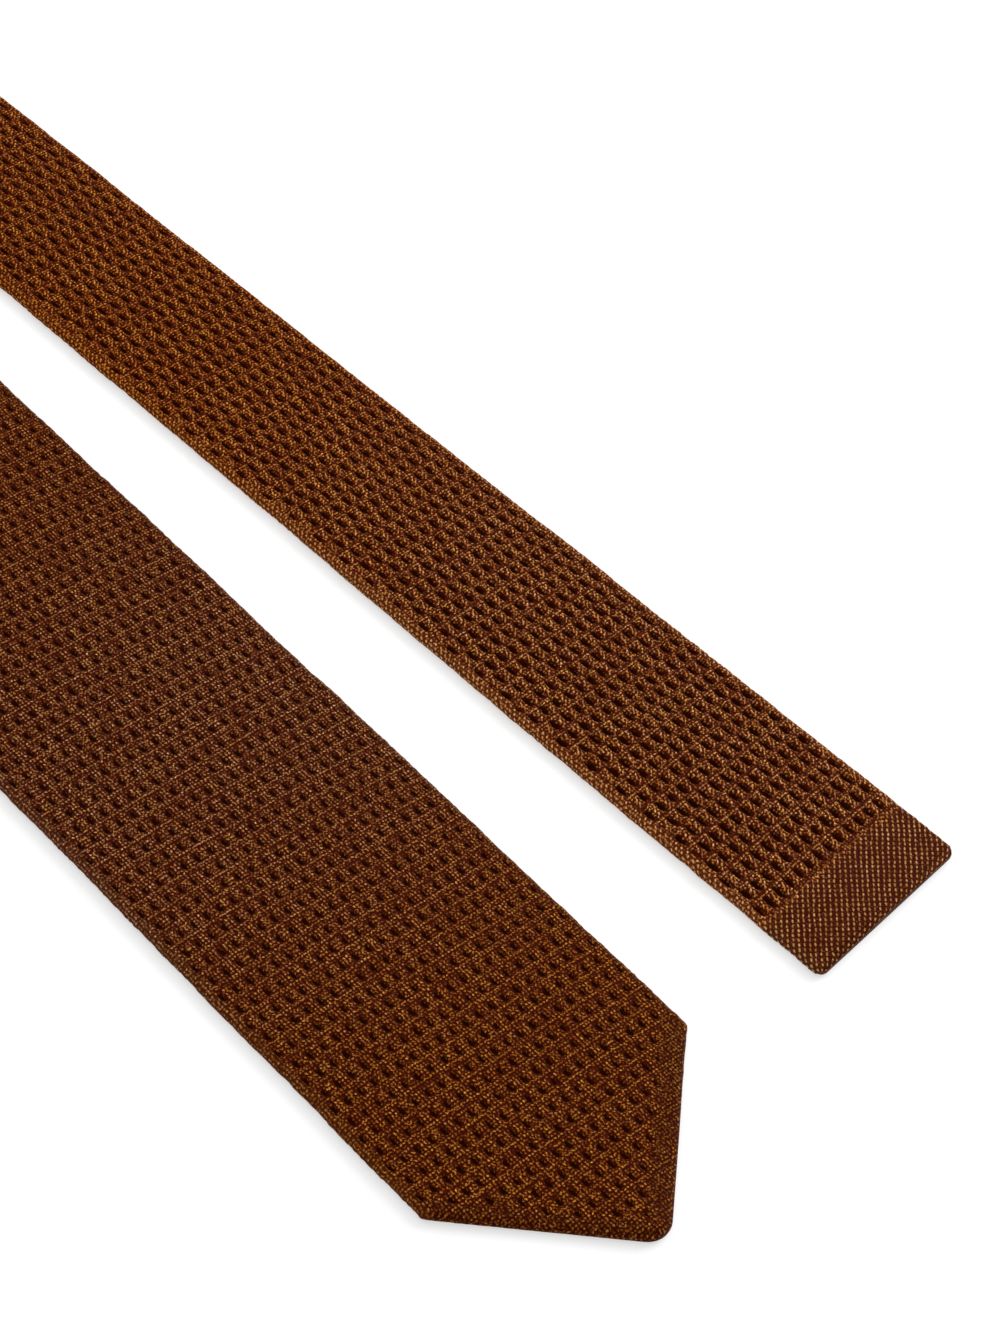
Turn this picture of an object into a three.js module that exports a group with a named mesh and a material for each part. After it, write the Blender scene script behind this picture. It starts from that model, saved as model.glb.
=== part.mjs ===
// A silk knit tie, lying face up with its two ends side by side.
// Millimetres, +Z up, +Y from the tip towards the neck, +X from the wide blade towards the narrow tail.
// The band is a knit tube pressed flat and sewn up its back. Its legs lie on the table. Between them
// the neckband rolls up onto its outer edge, goes round once as a collar does, and rolls flat again.
import * as THREE from 'three';

// Length and widths
const FULL_LENGTH = 1450;
const BLADE_WIDTH = 65.6;
const NECK_WIDTH = 35.5;
const TAIL_END_WIDTH = 42.9;
const BLADE_FULL_LENGTH = 330;
const BLADE_TAPER_LENGTH = 270;
const TAIL_TAPER_LENGTH = 620;

// Pointed tip: how far back each edge runs, and how far the point stands off the middle line
const OUTER_SLANT_LENGTH = 30.2;
const INNER_SLANT_LENGTH = 32.1;
const TIP_OFFSET = -1.9;
const TIP_RADIUS = 4.5;

// Square end: its plain band, its corners, and how much longer its inner corner is
const END_BAND_LENGTH = 14;
const END_CORNER_RADIUS = 2.2;
const END_SKEW = 3.5;
const END_SKEW_FADE = 90;

// Section: two knit layers pressed together, folded edges, and the groove of the back seam
const THICKNESS = 3.0;
const EDGE_THICKNESS = 2.4;
const SEAM_WIDTH = 1.8;
const SEAM_DEPTH = 0.6;
const SEAM_MARGIN = 6;
const SEAM_FADE = 16;

// Lie of the band: where the tail's end is from the blade's middle line, and how each leg leans
const END_ACROSS = 82.1;
const END_ALONG = 24.3;
const BLADE_LEAN = 1.17;
const TAIL_LEAN = -1.54;

// Neck: its radius, how far the legs open out before it, and how the band rolls onto its edge
const NECK_RADIUS = 56;
const SWING = 15;
const NECK_ROLL = 82;
const ROLL_LENGTH = 165;

// Where the four pieces meet
const JOINT_GAP = 0.3;

// Fineness of the surface: steps along the band, points over its face, and the ends' last rings
const TIP_STEP = 4.5;
const LEG_STEP = 34;
const TAPER_STEP = 17;
const ROLL_STEP = 8.5;
const NECK_STEP = 6;
const SKEW_STEP = 11;
const END_STEP = 4;
const ROUTE_STEP = 1;
const CROWN_POINTS = 5;
const ROUNDING_STEPS = 6;
const CLOSING_INSET = 0.12;

// The points beside a folded edge stay within these shares of a narrow section's width
const NEAR_SHARE = 0.08;
const FAR_SHARE = 0.2;

const EDGE_RADIUS = EDGE_THICKNESS / 2;
const CROWN = THICKNESS - EDGE_THICKNESS;
const MIDDLE = FULL_LENGTH / 2;
const { degToRad, lerp, smoothstep, smootherstep } = THREE.MathUtils;

// The stretches of the route. from and to are headings in degrees to the right of +Y. At softness 1
// a stretch turns slowly at its ends and faster in its middle, and at 0 it is an arc.
const STRETCHES = [
  { name: 'blade', from: BLADE_LEAN, to: BLADE_LEAN, softness: 0 },
  { name: 'swing_out', from: BLADE_LEAN, to: -SWING, softness: 1 },
  { name: 'neck', from: -SWING, to: 180 + SWING, softness: 0.55 },
  { name: 'swing_in', from: 180 + SWING, to: 180 + TAIL_LEAN, softness: 1 },
  { name: 'tail', from: 180 + TAIL_LEAN, to: 180 + TAIL_LEAN, softness: 0 },
];

function headingIn({ from, to, softness }, share) {
  const turned = share - softness * Math.sin(2 * Math.PI * share) / (2 * Math.PI);
  return degToRad(lerp(from, to, turned));
}

// How far a stretch one millimetre long goes across and along
function travelOf(stretch) {
  const travel = new THREE.Vector2();
  const steps = 200;
  for (let i = 0; i < steps; i++) {
    const heading = headingIn(stretch, (i + 0.5) / steps);
    travel.x += Math.sin(heading) / steps;
    travel.y += Math.cos(heading) / steps;
  }
  return travel;
}

// The neck's length comes from its radius. The two legs and the swings get the lengths that bring
// the tail's end to its place with the whole band at its full length.
function solveLengths() {
  const [blade, out, neck, back, tail] = STRETCHES.map(travelOf);
  const neckLength = NECK_RADIUS * degToRad(180 + 2 * SWING);
  const unknowns = new THREE.Matrix3().set(
    blade.x, out.x + back.x, tail.x,
    blade.y, out.y + back.y, tail.y,
    1, 2, 1,
  );
  const goal = new THREE.Vector3(
    END_ACROSS - neck.x * neckLength,
    END_ALONG - neck.y * neckLength,
    FULL_LENGTH - neckLength,
  );
  const [bladeLength, swingLength, tailLength] = goal.applyMatrix3(unknowns.invert()).toArray();
  return [bladeLength, swingLength, neckLength, swingLength, tailLength];
}

// The route as a list of places along the band, each with its heading
function layRoute(lengths) {
  const route = [{ s: 0, x: 0, y: 0, heading: degToRad(BLADE_LEAN) }];
  let { s, x, y } = route[0];
  STRETCHES.forEach((stretch, index) => {
    const steps = Math.ceil(lengths[index] / ROUTE_STEP);
    const step = lengths[index] / steps;
    for (let i = 0; i < steps; i++) {
      const middle = headingIn(stretch, (i + 0.5) / steps);
      s += step;
      x += step * Math.sin(middle);
      y += step * Math.cos(middle);
      route.push({ s, x, y, heading: headingIn(stretch, (i + 1) / steps) });
    }
  });
  return route;
}

const LENGTHS = solveLengths();
const ROUTE = layRoute(LENGTHS);
const NECK_START = LENGTHS[0] + LENGTHS[1];
const NECK_END = NECK_START + LENGTHS[2];
const ROLL_START = NECK_START - ROLL_LENGTH;
const ROLL_END = NECK_END + ROLL_LENGTH;
const END_BAND_START = FULL_LENGTH - END_BAND_LENGTH;

function placeAt(s) {
  const after = Math.max(1, ROUTE.findIndex((place) => place.s >= s));
  const [a, b] = [ROUTE[after - 1], ROUTE[after]];
  const share = (s - a.s) / (b.s - a.s);
  return {
    x: lerp(a.x, b.x, share),
    y: lerp(a.y, b.y, share),
    heading: lerp(a.heading, b.heading, share),
  };
}

// How far the inner edge has risen, as an angle
function rollAt(s) {
  const rising = smootherstep(s, ROLL_START, NECK_START);
  const falling = 1 - smootherstep(s, NECK_END, ROLL_END);
  return degToRad(NECK_ROLL) * Math.min(rising, falling);
}

// The blade narrows to the neck's width in a soft curve, and the tail in a straight taper
function widthAt(s) {
  const narrowing = smoothstep(s, BLADE_FULL_LENGTH, BLADE_FULL_LENGTH + BLADE_TAPER_LENGTH);
  const fromEnd = Math.min(1, (FULL_LENGTH - s) / TAIL_TAPER_LENGTH);
  const blade = lerp(BLADE_WIDTH, NECK_WIDTH, narrowing);
  const tail = lerp(TAIL_END_WIDTH, NECK_WIDTH, fromEnd);
  return Math.max(blade, tail);
}

// Two inward distances joined by a corner of radius r
function roundedCorner(d1, d2, r) {
  if (d1 >= r && d2 >= r) return Math.min(d1, d2);
  return r - Math.hypot(Math.max(r - d1, 0), Math.max(r - d2, 0));
}

// Inward distance from one slanted edge of the tip, which runs from the point to the shoulder
function slantInset(s, a, shoulderLength, side) {
  const across = side * BLADE_WIDTH / 2 - TIP_OFFSET;
  return (s * across - (a - TIP_OFFSET) * shoulderLength) * side / Math.hypot(shoulderLength, across);
}

// Inward distance from the band's outline at s along and a across, positive inside
function insetAt(s, a) {
  const sides = widthAt(s) / 2 - Math.abs(a);
  if (s < MIDDLE) {
    const outer = slantInset(s, a, OUTER_SLANT_LENGTH, -1);
    const inner = slantInset(s, a, INNER_SLANT_LENGTH, 1);
    return Math.min(sides, roundedCorner(outer, inner, TIP_RADIUS));
  }
  return roundedCorner(sides, FULL_LENGTH - s, END_CORNER_RADIUS);
}

// The last value that is still inside, found by halving the way from inside to outside
function lastInside(inside, outside, isInside) {
  const halvings = 40;
  for (let i = 0; i < halvings; i++) {
    const between = (inside + outside) / 2;
    if (isInside(between)) inside = between;
    else outside = between;
  }
  return inside;
}

// The middle line, which leans over to the point where the tip's two edges draw together
function middleAt(s) {
  const outer = lerp(TIP_OFFSET, -BLADE_WIDTH / 2, Math.min(1, s / OUTER_SLANT_LENGTH));
  const inner = lerp(TIP_OFFSET, BLADE_WIDTH / 2, Math.min(1, s / INNER_SLANT_LENGTH));
  return (outer + inner) / 2;
}

// Where the rounded tip begins, as near to its outline as its last ring goes
function tipStart() {
  return lastInside(TIP_RADIUS, 0, (s) => insetAt(s, middleAt(s)) > CLOSING_INSET);
}

// Where the outline crosses station s on one side
function edgeAt(s, side) {
  return lastInside(middleAt(s), side * widthAt(s), (a) => insetAt(s, a) > 0);
}

// Half the thickness left at an inward distance, round as a folded edge is
function edgeRise(inset) {
  const reach = THREE.MathUtils.clamp(inset, 0, EDGE_RADIUS);
  return Math.sqrt(EDGE_RADIUS ** 2 - (EDGE_RADIUS - reach) ** 2);
}

// The middle line sits in the groove of the seam, which fades out before both ends
function seamDepthAt(s) {
  const fromTip = smoothstep(s, SEAM_MARGIN, SEAM_MARGIN + SEAM_FADE);
  const fromEnd = smoothstep(FULL_LENGTH - s, SEAM_MARGIN, SEAM_MARGIN + SEAM_FADE);
  return SEAM_DEPTH * fromTip * fromEnd;
}

// One ring of points: across and up, from the outer edge over the face to the inner edge and back under
function sectionAt(s) {
  const outer = edgeAt(s, -1);
  const inner = edgeAt(s, 1);
  const width = inner - outer;
  const middle = (outer + inner) / 2;
  const slanted = s < Math.max(OUTER_SLANT_LENGTH, INNER_SLANT_LENGTH) ? Math.SQRT2 : 1;
  const near = Math.min(EDGE_RADIUS * (1 - Math.SQRT1_2) * slanted, width * NEAR_SHARE);
  const far = Math.min(EDGE_RADIUS * slanted, width * FAR_SHARE);
  const top = (a) => {
    const crown = CROWN * (1 - ((a - middle) * 2 / width) ** 2);
    return { a, z: EDGE_RADIUS + edgeRise(insetAt(s, a)) + crown };
  };
  const under = (a) => ({ a, z: EDGE_RADIUS - edgeRise(insetAt(s, a)) });
  const overTheFace = [outer + near, outer + far];
  for (let i = 1; i <= CROWN_POINTS; i++) {
    overTheFace.push(lerp(outer + far, inner - far, i / (CROWN_POINTS + 1)));
  }
  overTheFace.push(inner - far, inner - near);
  const seamHalf = Math.min(SEAM_WIDTH / 2, width * NEAR_SHARE);
  const seam = under(middle);
  seam.z += seamDepthAt(s);
  return [
    { a: outer, z: EDGE_RADIUS },
    ...overTheFace.map(top),
    { a: inner, z: EDGE_RADIUS },
    under(inner - near),
    under(inner - far),
    under(lerp(inner - far, middle + seamHalf, 0.5)),
    under(middle + seamHalf),
    seam,
    under(middle - seamHalf),
    under(lerp(outer + far, middle - seamHalf, 0.5)),
    under(outer + far),
    under(outer + near),
  ];
}

// A point of the flat band, carried to its place on the route. The outer edge stays on the table.
function carry(s, a, z) {
  const skew = END_SKEW / TAIL_END_WIDTH * smoothstep(s, FULL_LENGTH - END_SKEW_FADE, END_BAND_START);
  const along = s + skew * (a - TAIL_END_WIDTH / 2);
  const { x, y, heading } = placeAt(along);
  const roll = rollAt(along);
  const right = new THREE.Vector3(Math.cos(heading), -Math.sin(heading), 0);
  const up = new THREE.Vector3(0, 0, 1);
  const across = right.clone().multiplyScalar(Math.cos(roll)).addScaledVector(up, Math.sin(roll));
  const face = up.clone().multiplyScalar(Math.cos(roll)).addScaledVector(right, -Math.sin(roll));
  const outerReach = widthAt(along) / 2 - EDGE_RADIUS;
  const lift = outerReach * Math.sin(roll) + EDGE_RADIUS * (1 - Math.cos(roll));
  return new THREE.Vector3(x, y, lift).addScaledVector(across, a).addScaledVector(face, z);
}

// A closed body lofted through the sections at the given stations
function loft(stations) {
  const points = [];
  const index = [];
  const rings = stations.map((s) => sectionAt(s));
  const around = rings[0].length;
  rings.forEach((ring, i) => {
    ring.forEach(({ a, z }) => points.push(carry(stations[i], a, z)));
  });
  for (let i = 0; i + 1 < rings.length; i++) {
    for (let k = 0; k < around; k++) {
      const a = i * around + k;
      const b = i * around + (k + 1) % around;
      index.push(a, b, a + around, b, b + around, a + around);
    }
  }
  const close = (i, first, second) => {
    const hub = points.length;
    const middle = rings[i].reduce((sum, { a }) => sum + a / around, 0);
    points.push(carry(stations[i], middle, EDGE_RADIUS + CROWN / 2));
    for (let k = 0; k < around; k++) {
      const corner = [i * around + k, i * around + (k + 1) % around];
      index.push(hub, corner[first], corner[second]);
    }
  };
  close(0, 1, 0);
  close(rings.length - 1, 0, 1);
  const geometry = new THREE.BufferGeometry().setFromPoints(points);
  geometry.setIndex(index);
  geometry.computeVertexNormals();
  return geometry;
}

// Stations evenly spread from one place to the next, without the last one
function spread(from, to, step) {
  const count = Math.max(1, Math.round((to - from) / step));
  return Array.from({ length: count }, (_, i) => lerp(from, to, i / count));
}

// Stations that crowd towards the start of a rounded end of the given radius
function roundedStart(start, radius) {
  return Array.from({ length: ROUNDING_STEPS }, (_, i) => {
    const angle = i / ROUNDING_STEPS * Math.PI / 2;
    return start + radius * (1 - Math.cos(angle));
  });
}

function bladeStations() {
  const start = tipStart();
  const shoulders = [OUTER_SLANT_LENGTH, INNER_SLANT_LENGTH].sort((a, b) => a - b);
  return [
    ...roundedStart(start, TIP_RADIUS),
    ...spread(start + TIP_RADIUS, shoulders[0], TIP_STEP),
    ...shoulders,
    ...spread(shoulders[1] + EDGE_RADIUS, BLADE_FULL_LENGTH, LEG_STEP),
    ...spread(BLADE_FULL_LENGTH, ROLL_START - JOINT_GAP, TAPER_STEP),
    ROLL_START - JOINT_GAP,
  ];
}

function neckStations() {
  return [
    ...spread(ROLL_START, NECK_START, ROLL_STEP),
    ...spread(NECK_START, NECK_END, NECK_STEP),
    ...spread(NECK_END, ROLL_END, ROLL_STEP),
    ROLL_END,
  ];
}

function tailStations() {
  const skewStart = FULL_LENGTH - END_SKEW_FADE;
  return [
    ...spread(ROLL_END + JOINT_GAP, skewStart, LEG_STEP),
    ...spread(skewStart, END_BAND_START - JOINT_GAP, SKEW_STEP),
    END_BAND_START - JOINT_GAP,
  ];
}

function endBandStations() {
  const corner = FULL_LENGTH - END_CORNER_RADIUS;
  const rounding = roundedStart(CLOSING_INSET, END_CORNER_RADIUS - CLOSING_INSET).reverse();
  return [
    ...spread(END_BAND_START, corner, END_STEP),
    corner,
    ...rounding.map((inset) => FULL_LENGTH - inset),
  ];
}

function knit(name, stations, color) {
  const material = new THREE.MeshStandardMaterial({ color, roughness: 0.72, metalness: 0 });
  const mesh = new THREE.Mesh(loft(stations), material);
  mesh.name = name;
  return mesh;
}

const tie = new THREE.Group();
tie.add(
  knit('wide_blade', bladeStations(), 0x6b3f1d),
  knit('neckband', neckStations(), 0x70431f),
  knit('narrow_tail', tailStations(), 0x7a4a22),
  knit('tail_end_band', endBandStations(), 0x744520),
);

// The origin is under the middle of the whole tie, on the table
const box = new THREE.Box3().setFromObject(tie);
const middle = box.getCenter(new THREE.Vector3());
tie.position.set(-middle.x, -middle.y, -box.min.z);

export default tie;
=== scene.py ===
# A silk knit tie, lying face up with its two ends side by side on a white table.
# Each of its four pieces starts as a flat grid of stitches, is sewn up at the centre back into a tube,
# closed at its ends and pressed to shape, and then gets the small holes of its openwork.
import math

import bpy
import numpy as np
from mathutils import Matrix, Vector


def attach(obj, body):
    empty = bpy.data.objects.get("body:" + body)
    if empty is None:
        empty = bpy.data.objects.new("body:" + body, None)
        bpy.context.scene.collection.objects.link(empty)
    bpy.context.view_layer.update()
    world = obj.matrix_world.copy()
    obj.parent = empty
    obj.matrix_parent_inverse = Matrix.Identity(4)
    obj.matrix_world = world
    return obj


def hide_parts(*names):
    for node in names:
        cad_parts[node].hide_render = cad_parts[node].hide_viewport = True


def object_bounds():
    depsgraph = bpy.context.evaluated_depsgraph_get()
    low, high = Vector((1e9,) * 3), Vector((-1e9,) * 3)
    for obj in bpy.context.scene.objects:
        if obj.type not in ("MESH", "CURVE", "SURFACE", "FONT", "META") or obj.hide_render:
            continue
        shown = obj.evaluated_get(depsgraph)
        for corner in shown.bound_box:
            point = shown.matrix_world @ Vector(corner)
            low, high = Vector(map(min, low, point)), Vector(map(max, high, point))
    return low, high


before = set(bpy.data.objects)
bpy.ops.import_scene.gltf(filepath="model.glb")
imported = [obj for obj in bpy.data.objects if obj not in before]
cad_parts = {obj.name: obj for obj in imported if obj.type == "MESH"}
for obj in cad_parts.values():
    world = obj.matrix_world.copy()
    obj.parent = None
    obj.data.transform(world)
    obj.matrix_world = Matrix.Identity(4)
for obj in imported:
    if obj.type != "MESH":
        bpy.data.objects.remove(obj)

cad_box = [list(corner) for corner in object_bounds()]

MM = 0.001

# Length and widths of the tie, in millimetres as all lengths below
FULL_LENGTH = 1450
BLADE_WIDTH = 65.6
NECK_WIDTH = 35.5
TAIL_END_WIDTH = 42.9
BLADE_FULL_LENGTH = 330
BLADE_TAPER_LENGTH = 270
TAIL_TAPER_LENGTH = 620

# Pointed tip and square end
OUTER_SLANT_LENGTH = 30.2
INNER_SLANT_LENGTH = 32.1
TIP_OFFSET = -1.9
TIP_RADIUS = 4.5
END_BAND_LENGTH = 14
END_CORNER_RADIUS = 2.2
END_SKEW = 3.5
END_SKEW_FADE = 90
CLOSING_INSET = 0.12

# Section of the pressed tube
THICKNESS = 3.0
EDGE_THICKNESS = 2.4
EDGE_RADIUS = EDGE_THICKNESS / 2
CROWN = THICKNESS - EDGE_THICKNESS
SEAM_WIDTH = 1.8
SEAM_DEPTH = 0.6
SEAM_MARGIN = 6
SEAM_FADE = 16

# Lie of the band on the table and of the neck on its edge
END_ACROSS = 82.1
END_ALONG = 24.3
BLADE_LEAN = 1.17
TAIL_LEAN = -1.54
NECK_RADIUS = 56
SWING = 15
NECK_ROLL = 82
ROLL_LENGTH = 165
ROUTE_STEP = 1

# The knit: wales run along the tie and courses across it. Holes stand in rows, every second row
# shifted to the side. Between the rows runs a course of small loops.
HOLE_PITCH = 3.1
HOLE_REPEAT = 7.74
ROW_HEIGHT = HOLE_REPEAT / 2
ROW_SHIFT = 0.96
END_STRETCH = 0.12
END_STRETCH_LENGTH = 70
PLAIN_WALE = 1.65
PLAIN_COURSE = 0.65

# Fineness of the grid
FACE_STEP = HOLE_PITCH / 6
BACK_STEP = HOLE_PITCH * 1.5
NECK_BACK_STEP = HOLE_PITCH / 4
SHOWN_STEP = HOLE_REPEAT / 12
HIDDEN_STEP = 1.3
NECK_STEP = 0.9
BAND_STEP = 0.4
SHOWN_LENGTH = 255
FOLD_LEVELS = (0.09, 0.35, 0.75, EDGE_RADIUS)
SEAM_SHARES = (0.1, 0.5, 1.0)
TIP_TURNS = (0, 18, 30, 42, 54)
TIP_TURNED_SHARE = 0.5
CLOSING_RINGS = (0.75, 0.35, CLOSING_INSET)
CLOSING_CORNERS = 8
FOLD_SHARE = 0.99
MERGE_DISTANCE = 0.04
JOIN_FADE = 1.5
TRAVEL_SAMPLES = 200
HALVINGS = 40

# Holes of the openwork on the blade, and what the tail and then its end add to them
HOLE_SIZES = (
    dict(name="half width", blade=0.58, tail=-0.05, end=0.09),
    dict(name="half length", blade=1.14, tail=0.42, end=0.19),
    dict(name="depth", blade=0.5, tail=0.2, end=0.2),
)
LARGEST_HOLES = (190, 40)
HOLE_SIZE_RANGE = (0.91, 1.07)
HOLE_DEPTH_RANGE = (0.8, 1.1)
HOLE_SLOPE = (-0.15, 0.6)

# Plain margins beside the openwork, and how far a hole's middle may be past them
SIDE_MARGIN = 2.0
OUTER_SLANT_MARGIN = 3.0
INNER_SLANT_MARGIN = 4.8
END_BAND_MARGIN = 1.4
BACK_SEAM_MARGIN = 2.2
MARGIN_PASSED = 0.4
MARGIN_SIDE_SHARE = 0.5
PLAIN_FADE = (-0.8, 0.2)

# Where the silk is redder, from the tip or from the square end, and how far up the blade
WARM_TIP = (45, 140)
WARM_BLADE = (140, 230)
WARM_BLADE_SHARE = 0.85
WARM_TAIL = (210, 90)

# Painted light on the folded edges: how wide, how much, how much less far from the ends, and how far
# that is
RIM_FADE = (0.4, 1.9)
RIM_PAINTED_LIGHT = 0.9
RIM_LESS_PAINTED_LIGHT = 0.65
RIM_LIGHT_FADE_DISTANCES = (120, 320)

# The knit's unevenness: how far it strays, over which distance, and with which random draws
DRIFT_ACROSS = (dict(reach=0.16, period=13, draw=3), dict(reach=0.07, period=4.7, draw=4))
DRIFT_ALONG = (dict(reach=0.28, period=17, draw=7), dict(reach=0.1, period=5.3, draw=8))
SWELLS = (dict(reach=0.05, period=5.1, draw=5), dict(reach=0.1, period=17, draw=6))
EDGE_STRAYS = (
    dict(reach=0.16, period=21, draw={-1: 9, 1: 31}),
    dict(reach=0.09, period=5.3, draw={-1: 33, 1: 47}),
    dict(reach=0.1, period=PLAIN_COURSE, draw={-1: 55, 1: 65}),
)
BAND_RELIEF = 0.1

# It doesn't swell where it rests on the table: from this far inside a fold, while rolled this little
TABLE_FADE = 1.5
FLAT_ROLL = 0.05

# Random draws: the seed, and how many there are in a line, over the cloth and for the holes
SEED = 5042
LINE_DRAWS = 4096
CLOTH_DRAWS = 512
HOLE_COLUMNS = 64
HOLE_ROWS = 512


def smoothstep(x, low, high):
    """0 up to low, 1 from high, and a soft curve between them."""
    t = np.clip((x - low) / (high - low), 0, 1)
    return t * t * (3 - 2 * t)


def smootherstep(x, low, high):
    t = np.clip((x - low) / (high - low), 0, 1)
    return t ** 3 * (t * (6 * t - 15) + 10)


# The route of the tie's middle line

# Each stretch turns from one heading to another, in degrees to the right of +Y
STRETCHES = [
    dict(name="blade", start=BLADE_LEAN, end=BLADE_LEAN, softness=0),
    dict(name="swing_out", start=BLADE_LEAN, end=-SWING, softness=1),
    dict(name="neck", start=-SWING, end=180 + SWING, softness=0.55),
    dict(name="swing_in", start=180 + SWING, end=180 + TAIL_LEAN, softness=1),
    dict(name="tail", start=180 + TAIL_LEAN, end=180 + TAIL_LEAN, softness=0),
]


def heading_in(stretch, share):
    turned = share - stretch["softness"] * np.sin(2 * np.pi * share) / (2 * np.pi)
    return np.radians(stretch["start"] + (stretch["end"] - stretch["start"]) * turned)


def travel_of(stretch):
    """How far a stretch one millimetre long goes across and along."""
    heading = heading_in(stretch, (np.arange(TRAVEL_SAMPLES) + 0.5) / TRAVEL_SAMPLES)
    return np.array([np.sin(heading).mean(), np.cos(heading).mean()])


def solve_lengths():
    """The lengths of the stretches that bring the tail's end to its place."""
    blade, out, neck, back, tail = [travel_of(stretch) for stretch in STRETCHES]
    neck_length = NECK_RADIUS * math.radians(180 + 2 * SWING)
    unknowns = np.vstack([np.stack([blade, out + back, tail], axis=1), [1, 2, 1]])
    goal = np.append(np.array([END_ACROSS, END_ALONG]) - neck * neck_length, FULL_LENGTH - neck_length)
    blade_length, swing_length, tail_length = np.linalg.solve(unknowns, goal)
    return [blade_length, swing_length, neck_length, swing_length, tail_length]


def lay_route(lengths):
    """Rows of distance, across, along and heading, a millimetre apart."""
    rows = [np.array([[0, 0, 0, math.radians(BLADE_LEAN)]])]
    for stretch, length in zip(STRETCHES, lengths):
        steps = math.ceil(length / ROUTE_STEP)
        step = length / steps
        count = np.arange(steps)
        middle = heading_in(stretch, (count + 0.5) / steps)
        last = rows[-1][-1]
        rows.append(np.stack([
            last[0] + step * (count + 1),
            last[1] + step * np.cumsum(np.sin(middle)),
            last[2] + step * np.cumsum(np.cos(middle)),
            heading_in(stretch, (count + 1) / steps),
        ], axis=1))
    return np.vstack(rows)


LENGTHS = solve_lengths()
ROUTE = lay_route(LENGTHS)
NECK_START = LENGTHS[0] + LENGTHS[1]
NECK_END = NECK_START + LENGTHS[2]
ROLL_START = NECK_START - ROLL_LENGTH
ROLL_END = NECK_END + ROLL_LENGTH
END_BAND_START = FULL_LENGTH - END_BAND_LENGTH
MIDDLE = FULL_LENGTH / 2


def roll_at(s):
    rising = smootherstep(s, ROLL_START, NECK_START)
    falling = 1 - smootherstep(s, NECK_END, ROLL_END)
    return math.radians(NECK_ROLL) * np.minimum(rising, falling)


def width_at(s):
    narrowing = smoothstep(s, BLADE_FULL_LENGTH, BLADE_FULL_LENGTH + BLADE_TAPER_LENGTH)
    blade = BLADE_WIDTH + (NECK_WIDTH - BLADE_WIDTH) * narrowing
    tapered = np.minimum(1, (FULL_LENGTH - s) / TAIL_TAPER_LENGTH)
    tail = TAIL_END_WIDTH + (NECK_WIDTH - TAIL_END_WIDTH) * tapered
    return np.maximum(blade, tail)


# The outline, as an inward distance from the nearest edge

def rounded_corner(d1, d2, radius):
    rounded = radius - np.hypot(np.maximum(radius - d1, 0), np.maximum(radius - d2, 0))
    return np.where((d1 >= radius) & (d2 >= radius), np.minimum(d1, d2), rounded)


def slant_inset(s, a, shoulder_length, side):
    across = side * BLADE_WIDTH / 2 - TIP_OFFSET
    return (s * across - (a - TIP_OFFSET) * shoulder_length) * side / math.hypot(shoulder_length, across)


def tip_inset(s, a):
    outer = slant_inset(s, a, OUTER_SLANT_LENGTH, -1)
    inner = slant_inset(s, a, INNER_SLANT_LENGTH, 1)
    return rounded_corner(outer, inner, TIP_RADIUS)


def inset_at(s, a):
    sides = width_at(s) / 2 - np.abs(a)
    tip = np.minimum(sides, tip_inset(s, a))
    end = rounded_corner(sides, FULL_LENGTH - s, END_CORNER_RADIUS)
    return np.where(s < MIDDLE, tip, end)


def middle_at(s):
    outer = TIP_OFFSET + (-BLADE_WIDTH / 2 - TIP_OFFSET) * np.minimum(1, s / OUTER_SLANT_LENGTH)
    inner = TIP_OFFSET + (BLADE_WIDTH / 2 - TIP_OFFSET) * np.minimum(1, s / INNER_SLANT_LENGTH)
    return (outer + inner) / 2


def edge_at(s, side, level=0.0):
    """Where the line at an inward distance crosses each station on one side, found by halving."""
    inside = middle_at(s)
    outside = side * width_at(s)
    for _ in range(HALVINGS):
        between = (inside + outside) / 2
        within = inset_at(s, between) > level
        inside = np.where(within, between, inside)
        outside = np.where(within, outside, between)
    return inside


def tip_start():
    inside = np.float64(TIP_RADIUS)
    outside = np.float64(0)
    for _ in range(HALVINGS):
        between = (inside + outside) / 2
        if inset_at(between, middle_at(between)) > CLOSING_INSET:
            inside = between
        else:
            outside = between
    return inside


def edge_rise(inset):
    reach = np.clip(inset, 0, EDGE_RADIUS)
    return np.sqrt(EDGE_RADIUS ** 2 - (EDGE_RADIUS - reach) ** 2)


def seam_depth_at(s):
    from_tip = smoothstep(s, SEAM_MARGIN, SEAM_MARGIN + SEAM_FADE)
    from_end = smoothstep(FULL_LENGTH - s, SEAM_MARGIN, SEAM_MARGIN + SEAM_FADE)
    return SEAM_DEPTH * from_tip * from_end


def face_height(s, a):
    outer = edge_at(s, -1)
    inner = edge_at(s, 1)
    crown = CROWN * (1 - ((a - (outer + inner) / 2) * 2 / np.maximum(inner - outer, 1e-6)) ** 2)
    return EDGE_RADIUS + edge_rise(inset_at(s, a)) + crown


def back_height(s, a):
    groove = np.clip(1 - np.abs(a - middle_at(s)) / (SEAM_WIDTH / 2), 0, 1)
    return EDGE_RADIUS - edge_rise(inset_at(s, a)) + seam_depth_at(s) * groove


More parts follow.
